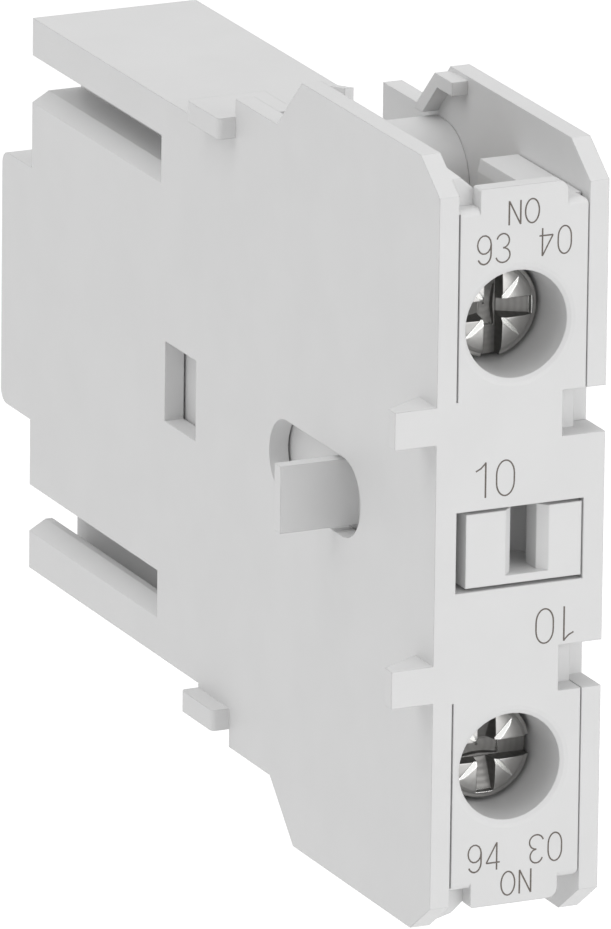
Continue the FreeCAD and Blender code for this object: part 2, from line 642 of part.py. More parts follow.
def buildTower(side, word):
    """One terminal tower: front, label tab, bore and wire guides."""
    body = newBody(word + "_tower_region")
    left = INSIDE_LEFT
    wallRear = front(s.frontWall)
    low = s.towerHalf - s.towerEdge * 2
    block(body, word + "Neck", (left, s.notchLeft), (front(0), wallRear),
          both(s.middleHalf, s.neckHalf, side))
    block(body, word + "NotchBack", (s.notchLeft, FIT_RIGHT), (front(s.notchDepth), wallRear),
          both(s.middleHalf, s.neckHalf, side))
    block(body, word + "Tower", (left, FIT_RIGHT), (front(0), wallRear), both(s.neckHalf, low, side))
    shoulder = [(front(0), low), (front(0), s.towerHalf, s.towerEdge), (front(s.labelThick), s.towerHalf),
                (front(s.labelThick), low)]
    slab(body, word + "Shoulder", "YZ", mirrored(shoulder, side), (left, FIT_RIGHT))
    corner = edgeCutter(FIT_RIGHT, s.towerHalf, (1, 1), s.towerEdge)
    slab(body, word + "ShoulderRound", "XZ", mirrored(corner, side), (front(0) - PAST, wallRear), cut=True)
    block(body, word + "Slit", (left, left + s.slit), (front(0) - PAST, front(s.slitDepth)),
          both(s.neckHalf, s.towerHalf - s.slitDrop, side), cut=True)
    wire = s.labelWide * -0.5
    labelLow = s.towerHalf - s.towerEdge
    label = [(wire, labelLow), (wire, s.labelHalf, s.labelEdge), (-wire, s.labelHalf, s.labelRound),
             (-wire, labelLow)]
    slab(body, word + "LabelTab", "XZ", mirrored(label, side), (front(0), front(s.labelThick)))
    rib = [(left, low), (left, s.labelHalf + s.ribRise), (wire, s.labelHalf - s.labelEdge),
           (wire + s.labelThick, s.labelHalf - s.labelThick), (wire + s.labelThick, low)]
    slab(body, word + "WireRib", "XZ", mirrored(rib, side), (front(s.labelThick), wallRear))
    chamfer = [(front(0), s.plateHalf - s.chamferDrop), (front(s.chamferRun), s.plateHalf),
               (front(0), s.plateHalf)]
    slab(body, word + "RibChamfer", "YZ", mirrored(chamfer, side), (left, wire), cut=True)
    guideLeft = FIT_RIGHT - s.guideWide
    guide = [(guideLeft, s.towerHalf - s.guideDeep), (guideLeft, s.towerHalf - s.guideBand),
             (guideLeft + s.guideLean, s.towerHalf), (FIT_RIGHT, s.towerHalf),
             (FIT_RIGHT, s.towerHalf - s.guideDeep)]
    slab(body, word + "WireGuide", "XZ", mirrored(guide, side), (front(s.labelThick), front(s.guideRun)))
    middle = s.screwZ * side
    rod(body, word + "BoreTube", (s.screwX, wallRear - s.boreWall, middle), s.boreRadius + s.boreWall,
        s.boreRun - s.frontWall + s.boreWall)
    rod(body, word + "Bore", (s.screwX, front(0) - PAST, middle), s.boreRadius, s.boreRun + PAST * 2,
        cut=True)
    rim = s.boreRadius + s.mouthWide
    mouth = [(s.boreRadius - s.mouthWide, 0), (s.boreRadius - s.mouthWide, s.mouthDeep),
             (s.boreRadius, s.mouthDeep), (s.boreRadius + s.mouthWide * 0.5, s.mouthDeep * 0.25), (rim, 0)]
    turned(body, word + "BoreMouth", (s.screwX, front(0), middle), mouth, cut=True)
    return body


def pegPlaces():
    return (s.rearPegRun, s.rearPegZ, "RearPeg"), (s.frontPegRun, s.frontPegZ, "FrontPeg")


def buildInside(side, word):
    """Guides, shelf, chamber wall and supports on one side of the middle."""
    body = newBody(word + "_inside_region")
    across = (INSIDE_LEFT, FIT_RIGHT)
    wallRear = front(s.frontWall)
    block(body, word + "Channel", across, (wallRear, front(s.shelfRun)),
          both(s.channelHalf, s.channelTop, side))
    block(body, word + "Shelf", across, (wallRear, front(s.shelfRun)),
          both(s.shelfTop - s.shelfThick, s.shelfTop, side))
    block(body, word + "ShelfWeb", across, (front(s.webRun), front(s.webRun) + s.shell),
          both(s.channelHalf, s.shelfTop, side))
    slab(body, word + "ChamberWall", "YZ", chamberOutline(side), (INSIDE_LEFT, INSIDE_RIGHT - s.chamberSeam))
    armRear = front(s.stripEnd) + s.stripThick
    block(body, word + "ContactRest", across, (armRear, armRear + s.shell),
          both(s.stripLow, s.ledgeHalf - s.shell, side))
    mouth = INSIDE_RIGHT - s.pegLength * 0.5
    for run, height, name in pegPlaces():
        rod(body, word + name + "Boss", (INSIDE_LEFT, front(run), height * side), s.pegRadius + s.bossWall,
            mouth - INSIDE_LEFT, TOWARDS_RIGHT)
        rod(body, word + name + "Hole", (INSIDE_RIGHT - s.pegLength - s.pegFit, front(run), height * side),
            s.pegRadius + s.pegFit, s.pegLength + s.pegFit, TOWARDS_RIGHT, cut=True)
    return body


def couplingTab(body, side, word):
    """The wedge beyond the left face that enters the next block's notch."""
    plan = [(LEFT, front(0)), (LEFT - s.tabOut, front(0)), (LEFT - s.tabOut, front(s.tabThin)),
            (LEFT, front(s.tabThick))]
    slab(body, word + "CouplingTab", "XY", plan,
         both(s.middleHalf + s.tabRise, s.neckHalf - s.tabDrop, side))


def buildFrontMiddle():
    """The full-width front between the towers, with the indicator window."""
    body = newBody("front_region")
    block(body, "frontMiddle", (INSIDE_LEFT, RIGHT), (front(0), front(s.frontWall)),
          (-s.middleHalf, s.middleHalf))
    block(body, "window", (-s.windowLeft, s.windowRight), (front(0) - PAST, front(s.frontWall) + PAST),
          (-s.windowHalf, s.windowHalf), cut=True)
    return body


def buildHousing():
    """The main moulding, open on the right where the cover closes it."""
    regions = [buildLeftWall(), buildRear(), buildFrontMiddle()]
    for side, word in SIDES:
        regions.append(buildTower(side, word))
        regions.append(buildInside(side, word))
    return joined("housing", regions)


def buildCover():
    """The right side plate, with its rim and four pegs."""
    body = newBody("side_cover")
    upper = [
        (front(s.frontWall) + s.seam, s.neckHalf),
        (front(0), s.neckHalf),
        (front(0), s.plateHalf - s.chamferDrop),
        (front(s.chamferRun), s.plateHalf),
        (front(s.plateRun), s.plateHalf),
        (front(s.plateRun) + (s.plateHalf - s.shoulderHalf), s.shoulderHalf),
        (front(s.shoulderRun), s.shoulderHalf),
        (front(s.shoulderRun), s.coverRearHalf),
        (front(s.coverRun), s.coverRearHalf),
    ]
    slab(body, "plate", "YZ", upper + mirrored(reversed(upper), -1), (INSIDE_RIGHT, RIGHT))
    top = s.plateHalf - s.rimDrop
    low = s.partitionTop + s.rimDrop
    thick = s.rimThick
    bend = front(s.plateRun)
    slopeEnd = bend + (top - low)
    rim = [(front(s.rimFront), top), (bend, top), (slopeEnd, low), (slopeEnd - thick * math.sqrt(2), low),
           (bend - thick * math.tan(math.pi / 8), top - thick), (front(s.rimFront), top - thick)]
    for side, word in SIDES:
        slab(body, word + "Rim", "YZ", mirrored(rim, side), (INSIDE_RIGHT - s.rimWidth, INSIDE_RIGHT))
        for run, height, name in pegPlaces():
            rod(body, word + name, (INSIDE_RIGHT - s.pegLength, front(run), height * side), s.pegRadius,
                s.pegLength, TOWARDS_RIGHT)
    return body


def buildCarrier():
    """The sliding contact carrier: head, beam, bridge window, fork, foot and lug."""
    body = newBody("contact_carrier")
    half = s.beamWide * 0.5
    inner = half - s.cheek
    high = (-s.beamHalf, s.beamHalf)
    windowRear = front(s.bridgeRun) + s.bridgeThick + s.bridgePlay
    footRear = front(s.footRun) + s.footLength
    block(body, "beam", (-half, half), (front(s.headRun), footRear), high)
    block(body, "head", (s.headGapLeft - s.windowLeft, s.windowRight - s.headGapRight),
          (front(s.carrierRecess), front(s.headRun)), (-s.headHalf, s.headHalf))
    block(body, "bridgeWindow", (-inner, inner), (front(s.bridgeWindowRun), windowRear),
          (-s.beamHalf - PAST, s.beamHalf + PAST), cut=True)
    block(body, "fork", (-inner, inner), (front(s.forkRun), front(s.footRun)),
          (-s.beamHalf - PAST, s.beamHalf + PAST), cut=True)
    grooveRear = footRear - s.footLip
    block(body, "driverGroove", (-half - PAST, half + PAST), (grooveRear - s.footGroove, grooveRear),
          (s.footKeep - s.beamHalf, s.beamHalf + PAST), cut=True)
    keyFront = front(s.carrierRecess)
    neckRear = keyFront + s.keyNeck
    pocketRear = keyFront + s.keyDeep
    keyLeft, keyRight = -s.keyLeft, s.keyRight
    key = [(keyLeft - s.keyBevel, keyFront - PAST), (keyRight + s.keyBevel, keyFront - PAST),
           (keyRight + s.keyBevel, keyFront), (keyRight, keyFront + s.keyBevel), (keyRight, neckRear),
           (keyRight + s.keyWider, neckRear), (keyRight + s.keyWider, pocketRear, s.keyRound),
           (keyLeft - s.keyWider, pocketRear, s.keyRound), (keyLeft - s.keyWider, neckRear),
           (keyLeft, neckRear), (keyLeft, keyFront + s.keyBevel), (keyLeft - s.keyBevel, keyFront)]
    slab(body, "keySlot", "XY", key, (-s.keyFloor, s.headHalf + PAST), cut=True)
    block(body, "lug", (LEFT - s.lugOut, -half), (front(s.lugRun), front(s.lugRun) + s.lugThick),
          (-s.lugHalf, s.lugHalf))
    rod(body, "contactSpringBoss", (0, front(s.bridgeWindowRun), 0),
        s.contactCoil - s.contactWire * 0.5 - s.springPlay, s.bossHeight)
    rod(body, "returnSpringBoss", (0, front(s.forkRun), 0),
        s.returnCoil - s.returnWire * 0.5 - s.springPlay, s.bossHeight)
    return body


def buildBridge():
    body = newBody("contact_bridge")
    block(body, "strip", (s.bridgeWide * -0.5, s.bridgeWide * 0.5),
          (front(s.bridgeRun), front(s.bridgeRun) + s.bridgeThick), (-s.bridgeHalf, s.bridgeHalf))
    return body


def buildTip(label, y, z, facing):
    """A contact tip with a low crown, facing back (1) or front (-1)."""
    body = newBody(label)
    outline = [(0, 0), (s.tipRadius, 0), (s.tipRadius, (s.tipThick - s.tipCrown) * facing),
               (s.tipFlat, s.tipThick * facing), (0, s.tipThick * facing)]
    turned(body, "crown", (0, y, z), outline)
    return body


def buildFixedContact(side, word):
    """Terminal plate, run through the chamber wall and contact arm, bent from one strip."""
    body = newBody("fixed_contact_" + word)
    thick = s.stripThick
    outer = s.bendInner + thick
    low = s.shelfTop
    arm = front(s.stripEnd)
    top = s.screwZ + s.stripRise
    outline = [
        (front(s.stripRun), top), (front(s.stripRun), low, outer), (arm, low, s.bendInner),
        (arm, s.stripLow), (arm + thick, s.stripLow), (arm + thick, low + thick, outer),
        (front(s.nutRun), low + thick, s.bendInner), (front(s.nutRun), top),
    ]
    left = s.screwX - s.stripWide * 0.5
    slab(body, "strip", "YZ", mirrored(outline, side), (left, left + s.stripWide))
    rod(body, "screwHole", (s.screwX, front(s.stripRun) - PAST, s.screwZ * side),
        s.shankRadius + s.holeFit, thick + PAST * 2, cut=True)
    return body


def buildNut(side, word):
    body = newBody("terminal_nut_" + word)
    half = s.nutSide * 0.5
    start = front(s.nutRun)
    middle = s.screwZ * side
    block(body, "square", (s.screwX - half, s.screwX + half), (start, start + s.nutThick),
          (middle - half, middle + half))
    rod(body, "hole", (s.screwX, start - PAST, middle), s.shankRadius + s.holeFit, s.nutThick + PAST * 2,
        cut=True)
    return body


def buildScrew(side, word):
    body = newBody("terminal_screw_" + word)
    length = s.headHeight + s.shankLength
    outline = [
        (0, 0), (s.crownFlat, 0), (s.crownShoulder, s.crownSlope), (s.headRadius, s.headCrown),
        (s.headRadius, s.headHeight), (s.shankRadius, s.headHeight), (s.shankRadius, length - s.shankTip),
        (s.shankRadius - s.shankTip, length), (0, length),
    ]
    start = front(s.screwRecess)
    middle = s.screwZ * side
    turned(body, "turning", (s.screwX, start, middle), outline)
    wide, long = s.crossWide * 0.5, s.crossLong * 0.5
    depth = (start - PAST, start + s.crossDeep)
    for across, up, name in ((long, wide, "crossLevel"), (wide, long, "crossUpright")):
        block(body, name, (s.screwX - across, s.screwX + across), depth, (middle - up, middle + up),
              cut=True)
    return body


def buildWasher(side, word):
    body = newBody("spring_washer_" + word)
    start = front(s.washerRun)
    middle = s.screwZ * side
    rod(body, "ring", (s.screwX, start, middle), s.washerRadius, s.washerThick)
    rod(body, "hole", (s.screwX, start - PAST, middle), s.shankRadius + s.holeFit, s.washerThick + PAST * 2,
        cut=True)
    half = s.washerCut * 0.5
    block(body, "split", (s.screwX, s.screwX + s.washerRadius + PAST),
          (start - PAST, start + s.washerThick + PAST), (middle - half, middle + half), cut=True)
    return body


def buildClamp(side, word):
    body = newBody("clamp_plate_" + word)
    start = front(s.clampRun)
    middle = s.screwZ * side
    wide, high = s.clampWide * 0.5, s.clampHigh * 0.5
    block(body, "plate", (s.screwX - wide, s.screwX + wide), (start, start + s.clampThick),
          (middle - high, middle + high))
    rod(body, "hole", (s.screwX, start - PAST, middle), s.shankRadius + s.holeFit, s.clampThick + PAST * 2,
        cut=True)
    rear = start + s.clampThick
    for hand, name in ((-1, "leftGroove"), (1, "rightGroove")):
        inner = s.shankRadius + s.clampGroove
        grip = [(s.screwX + inner * hand, rear + PAST), (s.screwX + inner * hand, rear),
                (s.screwX + (inner + wide) * (hand * 0.5), rear - s.clampGroove),
                (s.screwX + wide * hand, rear), (s.screwX + wide * hand, rear + PAST)]
        slab(body, name, "XY", grip, (middle - high - PAST, middle + high + PAST), cut=True)
    return body


def buildSpring(label, start, length, coil, wire, turns):
    """A compression spring along Y between two seats."""
    helix = doc.addObject("Part::Helix", label + "Helix")
    rise = length - wire
    bind(helix, Radius=coil)
    helix.Pitch = rise.value / turns.value
    helix.setExpression("Pitch", "(%s) / (%s)" % (rise.text, turns.text))
    helix.Height = rise.value
    helix.setExpression("Height", rise.text)
    place(helix, 0, start + wire * 0.5, 0, TOWARDS_BACK)
    section = doc.addObject("Part::RegularPolygon", label + "Section")
    section.Polygon = WIRE_SIDES
    bind(section, Circumradius=wire * 0.5)
    place(section, coil, start + wire * 0.5, 0)
    doc.recompute()
    spring = doc.addObject("Part::Sweep", label)
    spring.Label = label
    spring.Sections = [section]
    spring.Spine = (helix, ["Edge%d" % (i + 1) for i in range(len(helix.Shape.Edges))])
    spring.Solid = True
    spring.Frenet = True
    return spring


pieces = [buildHousing(), buildCover(), buildCarrier(), buildBridge()]
tipFace = front(s.bridgeRun) + s.bridgeThick
for side, word in SIDES:
    pieces += [
        buildTip("bridge_tip_" + word, tipFace, s.tipZ * side, 1),
        buildFixedContact(side, word),
        buildTip("fixed_tip_" + word, front(s.stripEnd), s.tipZ * side, -1),
        buildNut(side, word),
        buildScrew(side, word),
        buildWasher(side, word),
        buildClamp(side, word),
    ]
pieces += [
    buildSpring("contact_spring", front(s.bridgeWindowRun), s.bridgeRun - s.bridgeWindowRun,
                s.contactCoil, s.contactWire, s.contactTurns),
    buildSpring("return_spring", front(s.forkRun), s.postRun - s.forkRun,
                s.returnCoil, s.returnWire, s.returnTurns),
]
doc.recompute()

faults = [o.Name for o in doc.Objects if "Invalid" in o.State or "Error" in o.State]
if faults:
    raise RuntimeError("these objects failed: " + ", ".join(faults))
os.makedirs("parts", exist_ok=True)
for piece in pieces:
    shape = piece.Shape
    if shape.isNull() or not shape.isValid() or not shape.Solids:
        raise RuntimeError("no sound solid in " + piece.Label)
    print("%-22s solids %d  volume %9.3f" % (piece.Label, len(shape.Solids), shape.Volume))
    shape.exportStep("parts/%s.step" % piece.Label)
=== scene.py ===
import bpy
import bmesh
import math
from mathutils import Matrix, Vector


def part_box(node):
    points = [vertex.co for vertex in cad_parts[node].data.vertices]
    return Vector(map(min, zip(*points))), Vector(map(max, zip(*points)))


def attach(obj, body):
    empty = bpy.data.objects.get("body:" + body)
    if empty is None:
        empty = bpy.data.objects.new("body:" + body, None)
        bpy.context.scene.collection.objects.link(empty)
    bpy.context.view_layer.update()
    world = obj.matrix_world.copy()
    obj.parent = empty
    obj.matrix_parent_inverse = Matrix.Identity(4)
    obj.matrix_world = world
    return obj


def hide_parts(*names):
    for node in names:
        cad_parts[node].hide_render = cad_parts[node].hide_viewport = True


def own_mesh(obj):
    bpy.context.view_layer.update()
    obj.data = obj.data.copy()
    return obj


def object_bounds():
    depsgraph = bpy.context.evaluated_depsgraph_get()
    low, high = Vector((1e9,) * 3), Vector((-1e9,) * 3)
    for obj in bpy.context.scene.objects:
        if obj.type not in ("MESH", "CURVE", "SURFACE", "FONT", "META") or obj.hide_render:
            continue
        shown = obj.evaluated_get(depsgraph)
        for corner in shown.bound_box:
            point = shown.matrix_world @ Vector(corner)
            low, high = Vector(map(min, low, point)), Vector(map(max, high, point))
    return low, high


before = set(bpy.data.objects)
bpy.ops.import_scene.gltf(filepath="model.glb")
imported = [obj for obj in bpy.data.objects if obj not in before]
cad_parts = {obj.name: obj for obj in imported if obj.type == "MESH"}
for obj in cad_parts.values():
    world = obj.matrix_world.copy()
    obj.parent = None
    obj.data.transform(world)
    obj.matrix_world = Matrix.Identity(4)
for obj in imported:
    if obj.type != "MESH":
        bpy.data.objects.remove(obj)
print("frame loaded:", len(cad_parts), "nodes")
cadBox = [list(corner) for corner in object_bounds()]
mm = 0.001
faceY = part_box("housing")[0].y          # the front face, which carries all marks


# Camera, on the photograph's viewing line

cameraSet = {
    "place": (-379.07, -841.84, 273.62),      # mm in the part's frame
    "azimuth": -24.925,       # degrees, as the two below
    "elevation": 17.106,
    "roll": 0.696,
    "lens": 662.34,           # mm
    "sensor": 36.0,
    "near": 0.05,             # clipping, m
    "far": 20.0,
}


def makeCamera():
    data = bpy.data.cameras.new("photoCamera")
    data.lens = cameraSet["lens"]
    data.sensor_width = cameraSet["sensor"]
    data.sensor_fit = "AUTO"
    data.clip_start = cameraSet["near"]
    data.clip_end = cameraSet["far"]
    camera = bpy.data.objects.new("photoCamera", data)
    turn = Matrix.Rotation(math.radians(cameraSet["azimuth"]), 4, "Z")
    tip = Matrix.Rotation(math.radians(90 - cameraSet["elevation"]), 4, "X")
    roll = Matrix.Rotation(math.radians(cameraSet["roll"]), 4, "Z")
    place = Matrix.Translation(Vector(cameraSet["place"]) * mm)
    camera.matrix_world = place @ turn @ tip @ roll
    bpy.context.scene.collection.objects.link(camera)
    bpy.context.scene.camera = camera


makeCamera()
bpy.context.scene.view_settings.view_transform = "Standard"
print("camera placed")


# Materials

# sRGB hex to a linear colour with alpha.
def linearColour(code):
    parts = [int(code[i:i + 2], 16) / 255 for i in (1, 3, 5)]
    return [p / 12.92 if p <= 0.04045 else ((p + 0.055) / 1.055) ** 2.4 for p in parts] + [1.0]


# Adds a node: stops are a colour ramp's, each with its position and colour.
def addNode(tree, kind, settings=None, values=None, stops=(), **links):
    node = tree.nodes.new("ShaderNode" + kind)
    for name, value in (settings or {}).items():
        setattr(node, name, value)
    for name, value in (values or {}).items():
        node.inputs[name].default_value = value
    for i, (position, colour) in enumerate(stops):
        node.color_ramp.elements[i].position = position
        node.color_ramp.elements[i].color = colour
    for name, source in links.items():
        tree.links.new(source, node.inputs[name.replace("_", " ")])
    return node


def newMaterial(name):
    material = bpy.data.materials.new(name)
    material.use_nodes = True
    tree = material.node_tree
    tree.nodes.clear()
    return material, tree


plasticSet = {
    "pale": "#D9D9D9",
    "deep": "#D7D7D7",
    "roughness": (0.46, 0.56),
    "mottle": 260.0,          # soft shade changes about 4 mm across
    "grain": 7000.0,          # mould grain 0.14 mm across, coarser than real so that it shows
    "grainDepth": 0.004 * mm,
    "edge": 0.09 * mm,        # moulded edges are never knife sharp
    "pieces": [               # node, material, added to its colour
        ("housing", "housingPolyamide", 0.0),
        ("side_cover", "coverPolyamide", 0.004),
        ("contact_carrier", "carrierPolyamide", 0.01),
    ],
}


# Glass-filled polyamide from a spark-eroded mould: matt, with a faint grain and soft edges.
def mouldedPolyamide(name, lift):
    s = plasticSet
    material, tree = newMaterial(name)
    place = addNode(tree, "TexCoord").outputs["Object"]
    mottle = addNode(tree, "TexNoise", values={"Scale": s["mottle"], "Detail": 3.0}, Vector=place)
    grain = addNode(tree, "TexNoise", Vector=place,
                    values={"Scale": s["grain"], "Detail": 2.0, "Roughness": 0.6})
    deep, pale = ([c + lift for c in linearColour(s[end])[:3]] + [1.0] for end in ("deep", "pale"))
    shade = addNode(tree, "ValToRGB", stops=((0.35, deep), (0.65, pale)),
                    Fac=mottle.outputs["Fac"])
    rough = addNode(tree, "MapRange", Value=grain.outputs["Fac"],
                    values={"To Min": s["roughness"][0], "To Max": s["roughness"][1]})
    edge = addNode(tree, "Bevel", {"samples": 6}, {"Radius": s["edge"]})
    bump = addNode(tree, "Bump", values={"Strength": 0.35, "Distance": s["grainDepth"]},
                   Height=grain.outputs["Fac"], Normal=edge.outputs[0])
    shader = addNode(tree, "BsdfPrincipled", values={"IOR": 1.53},
                     Base_Color=shade.outputs["Color"], Roughness=rough.outputs["Result"],
                     Normal=bump.outputs["Normal"])
    addNode(tree, "OutputMaterial", Surface=shader.outputs[0])
    return material


# A metal with the fine marks that rolling, drawing or plating leaves. They are long on the
# axis where stretch is below 1.
def metalFinish(name, pale, deep, roughness, scale, stretch, depth):
    material, tree = newMaterial(name)
    place = addNode(tree, "TexCoord").outputs["Object"]
    along = addNode(tree, "Mapping", values={"Scale": stretch}, Vector=place)
    lines = addNode(tree, "TexNoise", values={"Scale": scale, "Detail": 4.0, "Roughness": 0.65},
                    Vector=along.outputs["Vector"])
    clouds = addNode(tree, "TexNoise", values={"Scale": 500.0, "Detail": 3.0}, Vector=place)
    shade = addNode(tree, "ValToRGB", Fac=clouds.outputs["Fac"],
                    stops=((0.3, linearColour(deep)), (0.7, linearColour(pale))))
    rough = addNode(tree, "MapRange", values={"To Min": roughness[0], "To Max": roughness[1]},
                    Value=lines.outputs["Fac"])
    bump = addNode(tree, "Bump", values={"Strength": 0.4, "Distance": depth * mm},
                   Height=lines.outputs["Fac"])
    shader = addNode(tree, "BsdfPrincipled", values={"Metallic": 1.0},
                     Base_Color=shade.outputs["Color"], Roughness=rough.outputs["Result"],
                     Normal=bump.outputs["Normal"])
    addNode(tree, "OutputMaterial", Surface=shader.outputs[0])
    return material


metalSet = {                  # pale, deep, roughness, scale and stretch of the marks, depth mm
    "rolledBrass": ("#D2B06A", "#BF9B55", (0.26, 0.4), 3000.0, (0.15, 1.0, 1.0), 0.003),
    "contactSilver": ("#DEDCD6", "#CBC8C0", (0.3, 0.42), 4000.0, (1.0, 1.0, 1.0), 0.002),
    "platedSteel": ("#BDBEC0", "#A9ABAE", (0.3, 0.44), 2500.0, (1.0, 1.0, 0.2), 0.003),
    "drawnWire": ("#A5A6A8", "#8D8E91", (0.24, 0.36), 3500.0, (1.0, 0.3, 1.0), 0.002),
}
metals = {name: metalFinish(name, *values) for name, values in metalSet.items()}


# Nickel-plated steel with faint cloudy staining, a trace of turning rings round the centre and
# softly rounded edges. Each copy has its own colour and roughness: the punched recess is darker, a
# painted shade, and the struck facets are near white, a painted highlight.
def screwSteel(name, centre, pale, deep, roughness):
    material, tree = newMaterial(name)
    place = addNode(tree, "TexCoord").outputs["Object"]
    centred = addNode(tree, "Mapping", values={"Location": [-c for c in centre]}, Vector=place)
    rings = addNode(tree, "TexWave", {"wave_type": "RINGS", "rings_direction": "Y"},
                    {"Scale": 900.0, "Distortion": 0.2, "Detail": 1.0},
                    Vector=centred.outputs["Vector"])
    clouds = addNode(tree, "TexNoise", values={"Scale": 900.0, "Detail": 3.0}, Vector=place)
    shade = addNode(tree, "ValToRGB", Fac=clouds.outputs["Fac"],
                    stops=((0.3, linearColour(deep)), (0.7, linearColour(pale))))
    rough = addNode(tree, "MapRange", values={"To Min": roughness[0], "To Max": roughness[1]},
                    Value=rings.outputs["Fac"])
    edge = addNode(tree, "Bevel", {"samples": 6}, {"Radius": 0.09 * mm})
    shader = addNode(tree, "BsdfPrincipled", values={"Metallic": 1.0},
                     Base_Color=shade.outputs["Color"], Roughness=rough.outputs["Result"],
                     Normal=edge.outputs[0])
    addNode(tree, "OutputMaterial", Surface=shader.outputs[0])
    return material


# Laser-darkened plastic: a dull brownish grey line with uneven burning.
def laserInk(name):
    material, tree = newMaterial(name)
    place = addNode(tree, "TexCoord").outputs["Object"]
    burn = addNode(tree, "TexNoise", values={"Scale": 6000.0, "Detail": 2.0}, Vector=place)
    shade = addNode(tree, "ValToRGB", Fac=burn.outputs["Fac"],
                    stops=((0.35, linearColour("#5F5853")), (0.7, linearColour("#6F6862"))))
    shader = addNode(tree, "BsdfPrincipled", values={"Roughness": 0.7},
                     Base_Color=shade.outputs["Color"])
    addNode(tree, "OutputMaterial", Surface=shader.outputs[0])
    return material


def dressNode(name, material):
    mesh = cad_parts[name].data
    mesh.materials.clear()
    mesh.materials.append(material)


def dressCadNodes():
    for node, name, lift in plasticSet["pieces"]:
        dressNode(node, mouldedPolyamide(name, lift))
    dressNode("contact_bridge", metals["rolledBrass"])
    for spring in ("contact_spring", "return_spring"):
        dressNode(spring, metals["drawnWire"])
    for level in ("upper", "lower"):
        dressNode("fixed_contact_" + level, metals["rolledBrass"])
        for tip in ("bridge_tip_", "fixed_tip_"):
            dressNode(tip + level, metals["contactSilver"])
        for steel in ("terminal_nut_", "terminal_screw_", "spring_washer_", "clamp_plate_"):
            dressNode(steel + level, metals["platedSteel"])


dressCadNodes()
print("CAD nodes dressed")


# Mesh helpers

# Makes the object, with edges sharper than the angle kept crisp and the rest smooth.
def finishMesh(bm, name, materials, sharpFrom=35.0):
    bmesh.ops.remove_doubles(bm, verts=bm.verts, dist=1e-7)
    bmesh.ops.recalc_face_normals(bm, faces=bm.faces)
    for edge in bm.edges:
        edge.smooth = edge.calc_face_angle(math.pi) < math.radians(sharpFrom)
    for face in bm.faces:
        face.smooth = True
    mesh = bpy.data.meshes.new(name)
    bm.to_mesh(mesh)
    bm.free()
    for material in materials:
        mesh.materials.append(material)
    piece = bpy.data.objects.new(name, mesh)
    bpy.context.scene.collection.objects.link(piece)
    return piece


# Cuts each closed bmesh in cutters out of the target bmesh, and gives the new bmesh.
# Cut faces keep the material number of the cutter that made them.
def cutWith(target, cutters, materials):
    holder = bpy.data.objects.new("cutTarget", bpy.data.meshes.new("cutTarget"))
    target.to_mesh(holder.data)
    target.free()
    bpy.context.scene.collection.objects.link(holder)
    spare = []
    for cutter in cutters:
        bmesh.ops.recalc_face_normals(cutter, faces=cutter.faces)
        tool = bpy.data.objects.new("cutTool", bpy.data.meshes.new("cutTool"))
        cutter.to_mesh(tool.data)
        cutter.free()
        for material in materials:
            tool.data.materials.append(material)
        bpy.context.scene.collection.objects.link(tool)
        boolean = holder.modifiers.new("cut", "BOOLEAN")
        boolean.operation = "DIFFERENCE"
        boolean.solver = "EXACT"
        boolean.object = tool
        spare.append(tool)
    for material in materials:
        holder.data.materials.append(material)
    result = bmesh.new()
    result.from_object(holder, bpy.context.evaluated_depsgraph_get())
    for extra in spare + [holder]:
        bpy.data.objects.remove(extra)
    return result


# Terminal screws: pan head with a cross recess, four ticks between its arms and a slot to the rim

screwSet = {                  # mm, depths from the middle of the domed top
    "headRadius": 2.75,
    "headHeight": 2.0,
    "crown": [                # radius and depth of the domed top
        (0, 0), (1.2, 0.0), (1.9, 0.04), (2.3, 0.13), (2.46, 0.22), (2.5, 0.3), (2.66, 0.33),
        (2.73, 0.38), (2.75, 0.5),
    ],
    "headEdge": 0.1,          # chamfer under the head
    "neck": 0.3,              # plain shank between head and thread
    "shankRadius": 1.75,
    "rootRadius": 1.45,
    "length": 9.4,
    "pointLength": 0.4,
    "pointTaper": 0.35,
    "steps": 96,              # round the axis
    "pitch": 0.6,
    "threadFrom": 2.6,
    "threadTo": 9.0,
    "threadSink": 0.03,       # the ridge starts this far inside the root
    "threadShare": 0.46,      # half the ridge's foot against the pitch
    "threadSteps": 40,        # in one turn
    "above": 1.0,             # how far arms and slot are cut above the top
    "armWidth": 1.1,
    "armStart": -0.15,        # just past the middle, so that opposite arms overlap
    "armReach": 2.46,
    "armEnd": 0.42,           # depth at an arm's end
    "armMouth": 0.95,         # depth where an arm opens into the middle
    "armLean": 0.2,           # how far the end wall leans out
    "armTaper": 0.66,         # floor's width against the arm's, at the mouth
    "armEndTaper": 0.9,       # the same at the end
    "armSlack": 0.99,         # keeps arm and slot walls from lying in one plane
    "stepSlack": 0.95,
    "stepReach": 1.3,         # where the recess ends inside the slot
    "stepDepth": 1.2,
    "stepFall": 0.1,          # how much deeper the step is at its mouth
    "endFacing": 0.7,         # cutter faces that point this far outwards are an arm's end
    "slotDepth": 1.0,
    "slotPast": 0.4,          # how far the slot is cut past the rim
    "pitHalf": 0.4,           # half its width at the rim
    "pitRise": 0.2,           # the pit's rim above the arms' mouths
    "pitDepth": 1.4,          # middle of the recess
    "tickStart": 0.66,
    "tickReach": 2.3,
    "tickDepth": 0.16,        # at its start
    "tickAbove": 0.25,        # how far a tick is cut above its root
    "tickShift": 0.067,       # sideways, for each unit that one wall spreads more than the other
    "tickWalls": ((1.0, 1.0), (0.4, 1.9), (1.0, 1.0), (1.9, 0.4)),    # near and far of each tick
    "sharpFrom": 14.0,        # degrees
    "steels": [               # pale, deep, roughness: turned head, punched recess darker as painted shade, struck facets near white as a painted highlight
        ("turnedSteel_", "#C2C1BF", "#B6B5B3", (0.3, 0.35)),
        ("punchedSteel_", "#8A8987", "#7A7977", (0.5, 0.6)),
        ("struckSteel_", "#F6F6F4", "#F0F0EE", (0.2, 0.26)),
    ],
}
